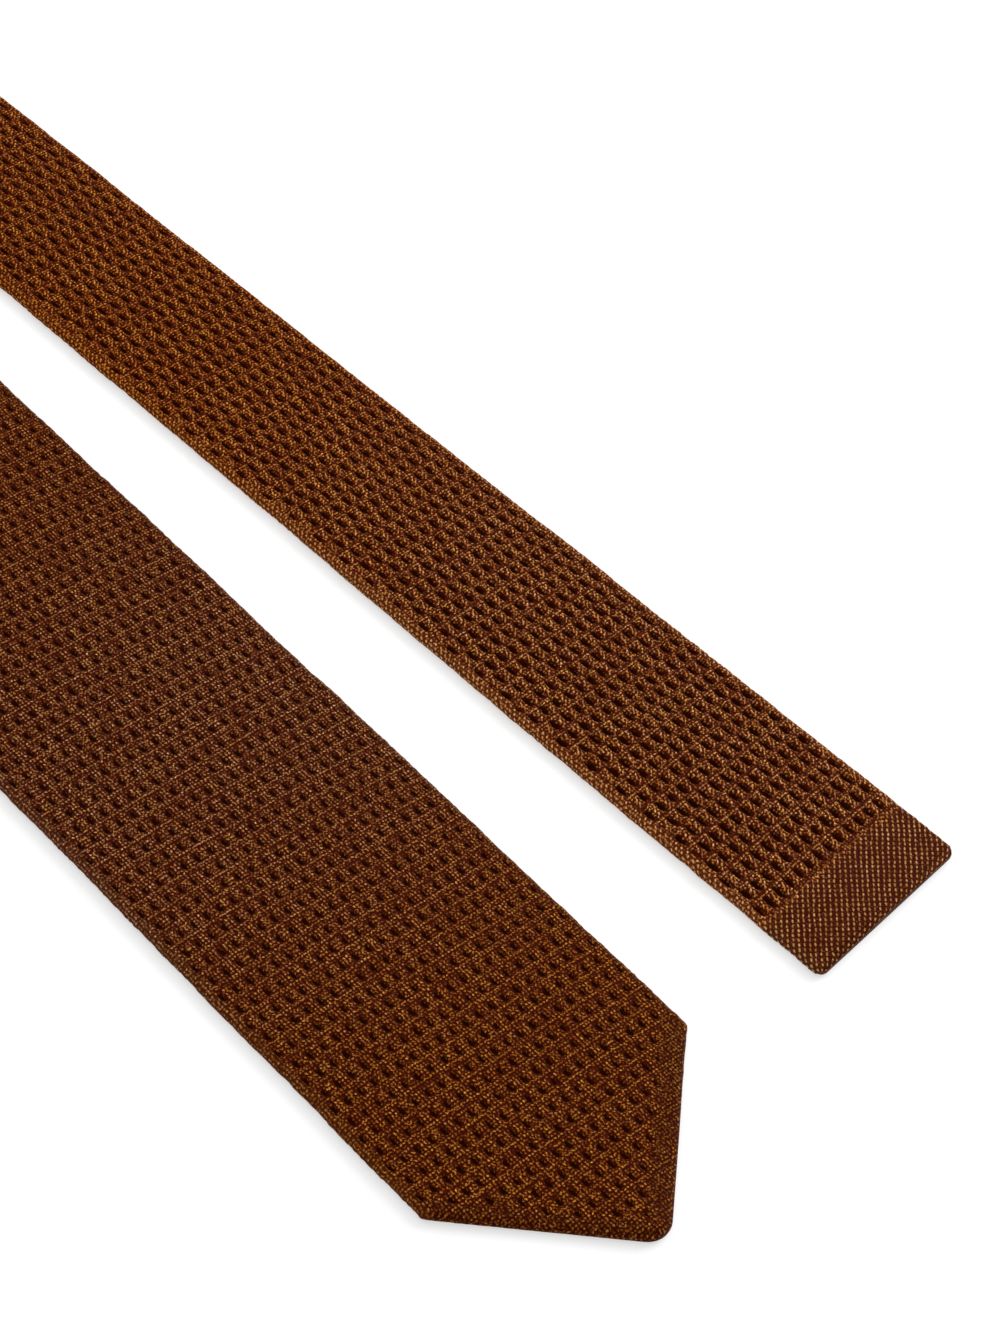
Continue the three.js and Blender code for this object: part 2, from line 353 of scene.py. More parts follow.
def carry(s, a, z):
    """Points of the flat band, carried to their places on the route. Rows of x, y and z."""
    skew = END_SKEW / TAIL_END_WIDTH * smoothstep(s, FULL_LENGTH - END_SKEW_FADE, END_BAND_START)
    along = s + skew * (a - TAIL_END_WIDTH / 2)
    x, y, heading = [np.interp(along, ROUTE[:, 0], ROUTE[:, column]) for column in (1, 2, 3)]
    past = np.maximum(along - ROUTE[-1, 0], 0)
    roll = roll_at(along)
    outer_reach = width_at(along) / 2 - EDGE_RADIUS
    lift = outer_reach * np.sin(roll) + EDGE_RADIUS * (1 - np.cos(roll))
    flat = a * np.cos(roll) - z * np.sin(roll)
    return np.stack([
        x + past * np.sin(heading) + flat * np.cos(heading),
        y + past * np.cos(heading) - flat * np.sin(heading),
        lift + a * np.sin(roll) + z * np.cos(roll),
    ], axis=-1)


def shift_to_frame():
    """How far the route is moved so that the tie lies where its CAD box is."""
    s = np.arange(tip_start(), FULL_LENGTH, 1.0)
    outer = edge_at(s, -1)
    inner = edge_at(s, 1)
    rim = np.full_like(s, EDGE_RADIUS)
    middle = (outer + inner) / 2
    points = np.vstack([
        carry(s, outer, rim),
        carry(s, inner, rim),
        carry(s, middle, face_height(s, middle)),
    ])
    own = (points.min(0) + points.max(0)) / 2
    cad = (np.array(cad_box[0]) + np.array(cad_box[1])) / 2 / MM
    return np.array([cad[0] - own[0], cad[1] - own[1], 0])


FRAME_SHIFT = shift_to_frame()


# Stations along the band

def spread(start, end, step):
    return np.linspace(start, end, max(1, round((end - start) / step)) + 1)


def blade_stations():
    start = tip_start()
    rounding = start + TIP_RADIUS * (1 - np.cos(np.radians(TIP_TURNS)))
    shown = spread(start + TIP_RADIUS * TIP_TURNED_SHARE, SHOWN_LENGTH, SHOWN_STEP)
    hidden = spread(SHOWN_LENGTH, ROLL_START, HIDDEN_STEP)
    return np.concatenate([rounding, shown, hidden[1:]])


def neck_stations():
    return spread(ROLL_START, ROLL_END, NECK_STEP)


def tail_stations():
    hidden = spread(ROLL_END, FULL_LENGTH - SHOWN_LENGTH, HIDDEN_STEP)
    shown = spread(FULL_LENGTH - SHOWN_LENGTH, END_BAND_START, SHOWN_STEP)
    return np.concatenate([hidden, shown[1:]])


def band_stations():
    plain = spread(END_BAND_START, FULL_LENGTH - EDGE_RADIUS, BAND_STEP)
    closing = FULL_LENGTH - np.array(CLOSING_RINGS)
    return np.concatenate([plain, closing])


# The knit's unevenness

def smooth_noise(x, period, seed):
    """Random numbers from -1 to 1, a period apart, joined by soft curves."""
    draws = np.random.default_rng(SEED + seed).uniform(-1, 1, LINE_DRAWS)
    cell = np.floor(x / period).astype(int)
    share = x / period - cell
    soft = share * share * (3 - 2 * share)
    return draws[cell % LINE_DRAWS] * (1 - soft) + draws[(cell + 1) % LINE_DRAWS] * soft


def cloth_noise(u, v, period, seed):
    """The same over the cloth."""
    draws = np.random.default_rng(SEED + seed).uniform(-1, 1, (CLOTH_DRAWS, CLOTH_DRAWS))
    column = np.floor(u / period).astype(int)
    row = np.floor(v / period).astype(int)
    fu = u / period - column
    fv = v / period - row
    fu = fu * fu * (3 - 2 * fu)
    fv = fv * fv * (3 - 2 * fv)
    left, right = column % CLOTH_DRAWS, (column + 1) % CLOTH_DRAWS
    below, above = row % CLOTH_DRAWS, (row + 1) % CLOTH_DRAWS
    low = draws[left, below] * (1 - fu) + draws[right, below] * fu
    high = draws[left, above] * (1 - fu) + draws[right, above] * fu
    return low * (1 - fv) + high * fv


def stray(start, u, v, waves):
    """start, moved by each wave of unevenness in turn."""
    for wave in waves:
        start = start + wave["reach"] * cloth_noise(u, v, wave["period"], wave["draw"])
    return start


def knit_place(u, s):
    """Where a place of the cloth is on the knit's lattice, in millimetres. The rows drift a little,
    and lie further apart near the square end."""
    near_end = np.maximum(s - (FULL_LENGTH - END_STRETCH_LENGTH), 0)
    even = s - END_STRETCH * near_end ** 2 / (2 * END_STRETCH_LENGTH)
    return stray(u, u, s, DRIFT_ACROSS), stray(even, u, s, DRIFT_ALONG)


# The openwork: where holes are, how wide they open and how deep they show

def tailward_at(s):
    return smoothstep(s, ROLL_START, ROLL_END)


def hole_sizes(s):
    """Half width, half length and depth of the holes. They are small on the blade, larger on the tail
    and largest near its end."""
    towards_tail = tailward_at(s)
    towards_end = smoothstep(s, *[FULL_LENGTH - distance for distance in LARGEST_HOLES])
    return [
        size["blade"] + size["tail"] * towards_tail + size["end"] * towards_end
        for size in HOLE_SIZES
    ]


def hole_margin(s, a):
    """How far inside the plain edges a place lies. It has a hole where this is above 0."""
    sides = width_at(s) / 2 - np.abs(a) - SIDE_MARGIN
    outer = slant_inset(s, a, OUTER_SLANT_LENGTH, -1) - OUTER_SLANT_MARGIN
    inner = slant_inset(s, a, INNER_SLANT_LENGTH, 1) - INNER_SLANT_MARGIN
    tip = np.minimum(outer, inner)
    return np.minimum(sides, np.where(s < MIDDLE, tip, END_BAND_START - s - END_BAND_MARGIN))


def open_part(u, s):
    """How far inside the openwork a place of the cloth lies, on its face or its back."""
    flat_u = np.abs(u)
    width = width_at(s)
    a = np.where(flat_u > width / 2, width - flat_u, flat_u) * np.sign(u)
    return np.minimum(hole_margin(s, a), np.abs(width - flat_u) - BACK_SEAM_MARGIN)


def openness(u, s):
    """Above 0 inside a hole and 1 at its middle, and the depth of the nearest hole."""
    rng = np.random.default_rng(SEED)
    size = rng.uniform(*HOLE_SIZE_RANGE, (HOLE_COLUMNS, HOLE_ROWS))
    strength = rng.uniform(*HOLE_DEPTH_RANGE, (HOLE_COLUMNS, HOLE_ROWS))
    knit_u, knit_s = knit_place(u, s)
    best = np.full(len(s), -1.0)
    depth = np.zeros(len(s))
    half_width, half_length, full_depth = hole_sizes(s)
    inside = open_part(u, s)
    lowest = np.floor(knit_s / ROW_HEIGHT - 0.5)
    for row in (lowest, lowest + 1):
        offset = np.where(row % 2 == 0, 0, ROW_SHIFT)
        column = np.round((knit_u - offset) / HOLE_PITCH)
        i = (column + HOLE_COLUMNS // 2).astype(int) % HOLE_COLUMNS
        j = row.astype(int) % HOLE_ROWS
        away_u = knit_u - offset - column * HOLE_PITCH
        away_s = knit_s - (row + 0.5) * ROW_HEIGHT
        away = np.hypot(away_u / half_width, away_s / half_length) / size[i, j]
        middle_inside = inside - MARGIN_SIDE_SHARE * np.abs(away_u) > -MARGIN_PASSED
        open_here = np.where(middle_inside, np.maximum(1 - away, -1), -1)
        nearer = open_here > best
        best = np.where(nearer, open_here, best)
        depth = np.where(nearer, full_depth * strength[i, j], depth)
    return best, depth


def warmth_at(s):
    """How far the silk is towards its redder shade: at the blade's tip and away from both ends."""
    at_tip = 1 - smoothstep(s, *WARM_TIP)
    up_blade = WARM_BLADE_SHARE * smoothstep(s, *WARM_BLADE)
    up_tail = 1 - smoothstep(s, *[FULL_LENGTH - distance for distance in WARM_TAIL])
    towards_tail = tailward_at(s)
    return np.maximum(at_tip, up_blade * (1 - towards_tail) + up_tail * towards_tail)


def rim_at(girth, s):
    """How far a place is on the folded edge, where the silk is painted paler as painted light, most near
    the two ends.
    """
    near_fold = 1 - smoothstep(np.abs(np.abs(girth) - width_at(s) / 2), *RIM_FADE)
    from_ends = np.minimum(s, FULL_LENGTH - s)
    return near_fold * (RIM_PAINTED_LIGHT - RIM_LESS_PAINTED_LIGHT * smoothstep(from_ends, *RIM_LIGHT_FADE_DISTANCES))


def edge_wander(s, side):
    """How far the folded edge strays from its line."""
    return sum(
        wave["reach"] * smooth_noise(s, wave["period"], wave["draw"][side]) for wave in EDGE_STRAYS
    )


# Making one piece

def ring_columns(s, back_step):
    """The places of a ring's points over the girth, for all stations: across, and True on the face.
    They go from the centre back under the inner half, over the face and back under the outer half."""
    half = BLADE_WIDTH / 2 + HOLE_PITCH
    middle = middle_at(s)
    folds = {}
    for side in (-1, 1):
        folds[side] = [edge_at(s, side)] + [edge_at(s, side, level) for level in FOLD_LEVELS]
    low = folds[-1][-1]
    high = folds[1][-1]
    seam = [middle + SEAM_WIDTH / 2 * share for share in SEAM_SHARES]
    back = [np.full_like(s, a) for a in np.arange(SEAM_WIDTH / 2 + back_step, half, back_step)]
    columns = [(np.minimum(a, high), False) for a in seam + back]
    columns += [(a, False) for a in folds[1][::-1]]
    columns += [(a, True) for a in folds[1][1:]]
    count = math.ceil(half / FACE_STEP)
    for k in range(count, -count - 1, -1):
        columns.append((np.clip(np.full_like(s, k * FACE_STEP), low, high), True))
    columns += [(a, True) for a in folds[-1][::-1]]
    columns += [(a, False) for a in folds[-1][1:]]
    mirrored = [2 * middle - a for a in seam]
    columns += [(np.maximum(a, low), False) for a in [-a for a in back[::-1]] + mirrored[::-1]]
    return columns


def add_grid(name, columns, rings):
    """A flat grid of the given points, from Blender's own grid."""
    bpy.ops.object.select_all(action="DESELECT")
    bpy.ops.mesh.primitive_grid_add(x_subdivisions=columns - 1, y_subdivisions=rings - 1, size=2)
    piece = bpy.context.object
    piece.name = name
    piece.data.name = name
    return piece


def sew_up(piece, columns, rings):
    """Joins the grid's two long borders at the centre back and closes both ends."""
    vertices = piece.data.vertices
    place = np.arange(columns * rings) % columns
    chosen = (place == 0) | (place == columns - 1)
    bpy.ops.object.mode_set(mode="EDIT")
    bpy.ops.mesh.select_mode(type="VERT")
    bpy.ops.mesh.select_all(action="DESELECT")
    bpy.ops.object.mode_set(mode="OBJECT")
    vertices.foreach_set("select", chosen)
    edges = piece.data.edges
    ends = np.zeros(len(edges) * 2, int)
    edges.foreach_get("vertices", ends)
    ends = ends.reshape(-1, 2)
    border = chosen[ends].all(1) & (place[ends[:, 0]] == place[ends[:, 1]])
    edges.foreach_set("select", border)
    bpy.ops.object.mode_set(mode="EDIT")
    bpy.ops.mesh.select_mode(type="EDGE")
    bpy.ops.mesh.bridge_edge_loops()
    bpy.ops.mesh.select_all(action="SELECT")
    bpy.ops.mesh.fill_holes(sides=0)
    bpy.ops.object.mode_set(mode="OBJECT")


def write_points(mesh, points):
    shifted = (points + FRAME_SHIFT) * MM
    mesh.vertices.foreach_set("co", shifted.astype(np.float32).ravel())
    mesh.update()


def read_numbers(mesh, name):
    values = np.zeros(len(mesh.vertices), np.float32)
    mesh.attributes[name].data.foreach_get("value", values)
    return values.astype(float)


def add_numbers(mesh, name, values):
    layer = mesh.attributes.new(name, "FLOAT", "POINT")
    layer.data.foreach_set("value", values.astype(np.float32))


def merge_and_turn_out():
    bpy.ops.object.mode_set(mode="EDIT")
    bpy.ops.mesh.select_all(action="SELECT")
    bpy.ops.mesh.remove_doubles(threshold=MERGE_DISTANCE * MM)
    bpy.ops.mesh.normals_make_consistent(inside=False)
    bpy.ops.object.mode_set(mode="OBJECT")


def face_corners(mesh):
    """For each face its first corner and number of corners, and for each corner its vertex."""
    first = np.zeros(len(mesh.polygons), int)
    count = np.zeros(len(mesh.polygons), int)
    vertex = np.zeros(len(mesh.loops), int)
    mesh.polygons.foreach_get("loop_start", first)
    mesh.polygons.foreach_get("loop_total", count)
    mesh.loops.foreach_get("vertex_index", vertex)
    return first, count, vertex


def shade(mesh):
    """Smooth all over, with a sharp rim at the two closing faces."""
    first, count, _ = face_corners(mesh)
    closing = count > CLOSING_CORNERS
    mesh.polygons.foreach_set("use_smooth", ~closing)
    sharp = np.zeros(len(mesh.edges), bool)
    edge_of = np.zeros(len(mesh.loops), int)
    mesh.loops.foreach_get("edge_index", edge_of)
    for face in np.flatnonzero(closing):
        sharp[edge_of[first[face]:first[face] + count[face]]] = True
    mesh.edges.foreach_set("use_edge_sharp", sharp)


def unroll(girth, s, a, on_face):
    """The places of the cloth over the girth and along the band, as it goes round the folded edges:
    out over the nearest side, slant or square end."""
    sides = width_at(s) / 2 - np.abs(a)
    outer = slant_inset(s, a, OUTER_SLANT_LENGTH, -1)
    inner = slant_inset(s, a, INNER_SLANT_LENGTH, 1)
    side = np.where(outer < inner, -1, 1)
    shoulder_length = np.where(outer < inner, OUTER_SLANT_LENGTH, INNER_SLANT_LENGTH)
    across = side * BLADE_WIDTH / 2 - TIP_OFFSET
    slant_length = np.hypot(shoulder_length, across)
    inset = np.clip(inset_at(s, a), 0, EDGE_RADIUS)
    in_fold = inset < EDGE_RADIUS * FOLD_SHARE
    over_slant = (s < MIDDLE) & (np.minimum(outer, inner) < sides) & (on_face | in_fold)
    over_end = (s > MIDDLE) & (FULL_LENGTH - s < sides)
    bend = EDGE_RADIUS * np.arccos(1 - inset / EDGE_RADIUS)
    spare = EDGE_RADIUS * (math.pi / 2 - 1)
    longer = spare + np.where(on_face | over_end, inset - bend, bend - inset)
    out_across = np.where(over_slant, side * shoulder_length / slant_length, np.sign(a) * ~over_end)
    out_along = np.where(over_slant, -side * across / slant_length, over_end)
    place = np.where(over_slant, a, girth)
    return place + longer * out_across, s + longer * out_along


def draw_knit_map(mesh, girth, knit_u, knit_s):
    """The map that the stitches follow: millimetres over the girth and along the band."""
    first, count, vertex = face_corners(mesh)
    u = girth[vertex]
    turn = np.maximum.reduceat(u, first) - np.minimum.reduceat(u, first)
    across_seam = np.repeat(turn > NECK_WIDTH, count) & (u < 0)
    u = knit_u[vertex] + np.where(across_seam, np.repeat(turn, count), 0)
    layer = mesh.uv_layers.new(name="knit")
    layer.uv.foreach_set("vector", np.stack([u, knit_s[vertex]], axis=1).astype(np.float32).ravel())


# The strips of the unrolled band: the margin round each, and how much longer they are than needed
MAP_MARGIN = 0.02
STRIP_SPARE = 1.001


def draw_bake_map(mesh, girth, along):
    """The band unrolled and cut into strips side by side, inside the unit square."""
    first, count, vertex = face_corners(mesh)
    u = girth[vertex]
    low = np.minimum.reduceat(u, first)
    high = np.maximum.reduceat(u, first)
    across_seam = np.repeat((high - low) > NECK_WIDTH, count)
    u = np.where(across_seam & (u < 0), np.repeat(high, count), u)
    half = np.abs(girth).max() + 1
    start = along.min()
    length = along.max() - start
    strips = max(1, round(math.sqrt(length / (2 * half))))
    strip_length = length / strips * STRIP_SPARE
    face_s = np.add.reduceat(along[vertex], first) / count
    strip = np.repeat(np.floor((face_s - start) / strip_length), count)
    filled = 1 - 2 * MAP_MARGIN
    x = (strip + MAP_MARGIN + filled * (u + half) / (2 * half)) / strips
    y = MAP_MARGIN + filled * (along[vertex] - start - strip * strip_length) / strip_length
    layer = mesh.uv_layers.new(name="OFBake")
    layer.uv.foreach_set("vector", np.stack([x, y], axis=1).astype(np.float32).ravel())


def shape_tube(mesh, stations, columns):
    """Carries the grid's points to the pressed tube, and notes each one's place on the cloth."""
    s = np.repeat(stations, len(columns))
    a = np.stack([place for place, _ in columns], axis=1).ravel()
    on_face = np.tile([face for _, face in columns], len(stations))
    z = np.where(on_face, face_height(s, a), back_height(s, a))
    width = width_at(s)
    girth = np.where(on_face, a, np.sign(a - middle_at(s)) * width - a)
    cloth_across, cloth_along = unroll(girth, s, a, on_face)
    add_numbers(mesh, "girth", girth)
    add_numbers(mesh, "along", s)
    add_numbers(mesh, "cloth_across", cloth_across)
    add_numbers(mesh, "cloth_along", cloth_along)
    strayed = a + (a / width * 2) ** 2 * edge_wander(s, 1) * (a > 0)
    strayed = strayed - (a / width * 2) ** 2 * edge_wander(s, -1) * (a < 0)
    write_points(mesh, carry(s, strayed, z))


def mark_silk(mesh, girth, s, opening):
    """Notes what the silk's colour follows: the holes, plain parts, folded edges with their painted
    light and place on the tie.
    """
    add_numbers(mesh, "opening", opening)
    add_numbers(mesh, "plain", 1 - smoothstep(open_part(girth, s), *PLAIN_FADE))
    add_numbers(mesh, "rim", rim_at(girth, s))
    add_numbers(mesh, "tailward", tailward_at(s))
    add_numbers(mesh, "warmth", warmth_at(s))


def raise_surface(mesh, height):
    """Moves each point along its normal, and none below the table."""
    normal = np.zeros(len(mesh.vertices) * 3, np.float32)
    mesh.vertex_normals.foreach_get("vector", normal)
    place = np.zeros(len(mesh.vertices) * 3, np.float32)
    mesh.vertices.foreach_get("co", place)
    place = place.reshape(-1, 3) + normal.reshape(-1, 3) * height[:, None]
    place[:, 2] = np.maximum(place[:, 2], 0)
    mesh.vertices.foreach_set("co", place.astype(np.float32).ravel())


def make_knit(name, stations, back_step, stitch_relief=0.0):
    """One piece of the tie as a closed, pressed tube with its holes pressed in."""
    columns = ring_columns(stations, back_step)
    piece = add_grid(name, len(columns), len(stations))
    sew_up(piece, len(columns), len(stations))
    mesh = piece.data
    shape_tube(mesh, stations, columns)
    merge_and_turn_out()
    girth = read_numbers(mesh, "girth")
    s = read_numbers(mesh, "along")
    cloth_across = read_numbers(mesh, "cloth_across")
    knit_u, knit_s = knit_place(cloth_across, read_numbers(mesh, "cloth_along"))
    opening, depth = openness(girth, s)
    mark_silk(mesh, girth, s, opening)
    pit = depth * smoothstep(opening, *HOLE_SLOPE)
    swell = stray(0, girth, s, SWELLS)
    wale = np.cos(2 * np.pi * knit_u / PLAIN_WALE)
    course = np.cos(np.pi * knit_s / PLAIN_COURSE)
    stitches = stitch_relief * wale * course
    under = smoothstep(np.abs(girth) - width_at(s) / 2, -TABLE_FADE, 0)
    rest_on_table = under * (roll_at(s) < FLAT_ROLL)
    from_joins = smoothstep(np.minimum(s - stations[0], stations[-1] - s), 0, JOIN_FADE)
    raise_surface(mesh, (swell * (1 - rest_on_table) - pit + stitches) * from_joins * MM)
    shade(mesh)
    draw_knit_map(mesh, cloth_across, knit_u, knit_s)
    draw_bake_map(mesh, girth, s)
    mesh.update()
    return piece


# Materials

def add_node(tree, kind, inputs=(), **settings):
    """A node with its settings. inputs pairs a socket with a value or with another node's output."""
    made = tree.nodes.new(kind)
    for key, value in settings.items():
        setattr(made, key, value)
    for socket, value in dict(inputs).items():
        if isinstance(value, bpy.types.NodeSocket):
            tree.links.new(value, made.inputs[socket])
        else:
            made.inputs[socket].default_value = value
    return made


def calculate(tree, operation, first, second=0.0, third=0.0, clamp=False):
    return add_node(
        tree, "ShaderNodeMath", {0: first, 1: second, 2: third}, operation=operation, use_clamp=clamp
    ).outputs[0]


def blend_range(tree, value, low, high, out_low=0.0, out_high=1.0, kind="SMOOTHSTEP"):
    return add_node(
        tree, "ShaderNodeMapRange",
        {"Value": value, "From Min": low, "From Max": high, "To Min": out_low, "To Max": out_high},
        interpolation_type=kind,
    ).outputs["Result"]


def new_group(name, inputs, outputs):
    """An empty node group with named sockets."""
    tree = bpy.data.node_groups.new(name, "ShaderNodeTree")
    for socket, (kind, value) in inputs.items():
        made = tree.interface.new_socket(socket, in_out="INPUT", socket_type=kind)
        if value is not None:
            made.default_value = value
    for socket, kind in outputs.items():
        tree.interface.new_socket(socket, in_out="OUTPUT", socket_type=kind)
    entry = tree.nodes.new("NodeGroupInput")
    leave = tree.nodes.new("NodeGroupOutput")
    return tree, entry.outputs, leave.inputs


# The loops of one repeat, seen from the face: where each lies, in millimetres across and along, its
# length and breadth, its lean in degrees, and how far it is sunk, from 0 for on top to 1 for hidden
BLADE_LOOPS = [
    dict(name="course bead 1", at=(-1.16, 0.42), size=(0.78, 0.42), lean=33, sunk=0.06),
    dict(name="course bead 2", at=(-0.39, 0.5), size=(0.78, 0.42), lean=-26, sunk=0.06),
    dict(name="course bead 3", at=(0.39, 0.42), size=(0.78, 0.42), lean=33, sunk=0.06),
    dict(name="course bead 4", at=(1.16, 0.5), size=(0.78, 0.42), lean=-26, sunk=0.06),
    dict(name="lower left leg", at=(-0.45, 1.25), size=(0.85, 0.44), lean=65, sunk=0.3),
    dict(name="lower right leg", at=(0.30, 1.22), size=(0.75, 0.44), lean=-50, sunk=0.3),
    dict(name="waist left", at=(-0.36, 2.05), size=(0.75, 0.48), lean=75, sunk=0.05),
    dict(name="waist right", at=(0.42, 2.08), size=(0.75, 0.46), lean=-80, sunk=0.05),
    dict(name="upper left leg", at=(-0.38, 2.98), size=(0.85, 0.44), lean=-64, sunk=0.08),
    dict(name="upper right leg", at=(0.34, 3.02), size=(0.85, 0.44), lean=64, sunk=0.08),
    dict(name="strand", at=(-1.1, 2.05), size=(1.5, 0.3), lean=72, sunk=0.35),
]
TAIL_LOOPS = [
    dict(name="course left", at=(-0.5, 0.52), size=(1.0, 0.42), lean=-12, sunk=0.0),
    dict(name="course right", at=(0.45, 0.46), size=(0.9, 0.42), lean=18, sunk=0.0),
    dict(name="course end", at=(1.2, 0.5), size=(0.7, 0.4), lean=-20, sunk=0.1),
    dict(name="bead", at=(0.6, 1.12), size=(0.5, 0.48), lean=0, sunk=0.05),
    dict(name="lower loop", at=(-0.35, 1.3), size=(0.95, 0.42), lean=48, sunk=0.05),
    dict(name="long loop", at=(0.1, 2.0), size=(1.3, 0.46), lean=46, sunk=0.0),
    dict(name="side loop", at=(-0.62, 2.2), size=(0.7, 0.4), lean=70, sunk=0.15),
    dict(name="second loop", at=(0.05, 2.9), size=(1.2, 0.44), lean=42, sunk=0.0),
    dict(name="top bead", at=(-0.75, 3.15), size=(0.55, 0.44), lean=20, sunk=0.1),
    dict(name="top loop", at=(0.6, 3.4), size=(0.7, 0.4), lean=50, sunk=0.1),
    dict(name="side strand", at=(-1.15, 1.4), size=(1.6, 0.28), lean=84, sunk=0.3),
]
PLAIN_LOOPS = [
    dict(name="leg", at=(0.0, 0.32), size=(0.9, 0.52), lean=40, sunk=0.0),
]

# How far the loops of a repeat are moved at random, and how wide an edge a loop fades over
LOOP_NUDGE = 0.14
LOOP_FADE = (0.35, 1.25)

# Flecks of loose yarn, by the number in a millimetre, and fibres of uneven height on top
FLECK_SCALE = 1.42
FLECK_RANDOMNESS = 0.55
FLECK_FADE = (0.12, 0.55)
LOWEST_FLECK = 0.45
FLECK_HEIGHT = 0.55
FLECK_GAP = -0.65
FIBRE_SCALE = 3.4
FIBRE_SPREAD = (0.3, 0.7, 0.6, 1.25)
CELL_TONE_SHARE = 0.25


def repeat_group(name, loops, width, height, row_shift, start):
    """One repeat of loops laid out over the knit map. Height is 1 on a loop's crest and 0 between."""
    tree, given, out = new_group(
        name,
        {"Map": ("NodeSocketVector", None), "Unevenness": ("NodeSocketFloat", 1.0)},
        {"Height": "NodeSocketFloat", "Cell Tone": "NodeSocketFloat"},
    )
    ripple = add_node(
        tree, "ShaderNodeTexNoise", {"Vector": given["Map"], "Scale": 1.1, "Detail": 1.0},
        noise_dimensions="2D",
    )
    centred = add_node(
        tree, "ShaderNodeVectorMath", {0: ripple.outputs["Color"], 1: (0.5, 0.5, 0.5)},
        operation="SUBTRACT",
    )
    drift = add_node(
        tree, "ShaderNodeVectorMath", {0: centred.outputs[0], "Scale": given["Unevenness"]},
        operation="SCALE",
    )
    moved = add_node(
        tree, "ShaderNodeVectorMath", {0: given["Map"], 1: drift.outputs[0]}, operation="ADD"
    )
    place = add_node(tree, "ShaderNodeSeparateXYZ", {0: moved.outputs[0]})
    row = calculate(tree, "FLOOR", calculate(tree, "DIVIDE", place.outputs["Y"], height))
    odd = calculate(tree, "FLOORED_MODULO", row, 2.0)
    straight = calculate(tree, "MULTIPLY_ADD", odd, -row_shift, place.outputs["X"])
    shifted = calculate(tree, "SUBTRACT", straight, start)
    column = calculate(tree, "ROUND", calculate(tree, "DIVIDE", shifted, width))
    across = calculate(tree, "MULTIPLY_ADD", column, -width, shifted)
    along = calculate(tree, "MULTIPLY_ADD", row, -height, place.outputs["Y"])
    cell = add_node(tree, "ShaderNodeCombineXYZ", {"X": column, "Y": row})
    chance = add_node(
        tree, "ShaderNodeTexWhiteNoise", {"Vector": cell.outputs[0]}, noise_dimensions="2D"
    )
    spot = add_node(tree, "ShaderNodeCombineXYZ", {"X": across, "Y": along})
    nudge = add_node(
        tree, "ShaderNodeVectorMath",
        {
            0: chance.outputs["Color"], 1: (LOOP_NUDGE, LOOP_NUDGE, 0.0),
            2: (-LOOP_NUDGE / 2, -LOOP_NUDGE / 2, 0.0),
        },
        operation="MULTIPLY_ADD",
    )
    spot = add_node(
        tree, "ShaderNodeVectorMath", {0: spot.outputs[0], 1: nudge.outputs[0]}, operation="ADD"
    )
    nearest = None
    for loop in loops:
        half_length, half_breadth = (side / 2 for side in loop["size"])
        inside = add_node(
            tree, "ShaderNodeMapping",
            {"Vector": spot.outputs[0], "Location": (*loop["at"], 0),
             "Rotation": (0, 0, math.radians(loop["lean"])), "Scale": (half_length, half_breadth, 1)},
            vector_type="TEXTURE",
        )
        reach = add_node(tree, "ShaderNodeVectorMath", {0: inside.outputs[0]}, operation="LENGTH")
        away = calculate(tree, "ADD", reach.outputs["Value"], loop["sunk"])
        nearest = away if nearest is None else calculate(tree, "MINIMUM", nearest, away)
    crest = blend_range(tree, nearest, *LOOP_FADE, 1.0, 0.0)
    tree.links.new(crest, out["Height"])
    tree.links.new(chance.outputs["Value"], out["Cell Tone"])
    return tree


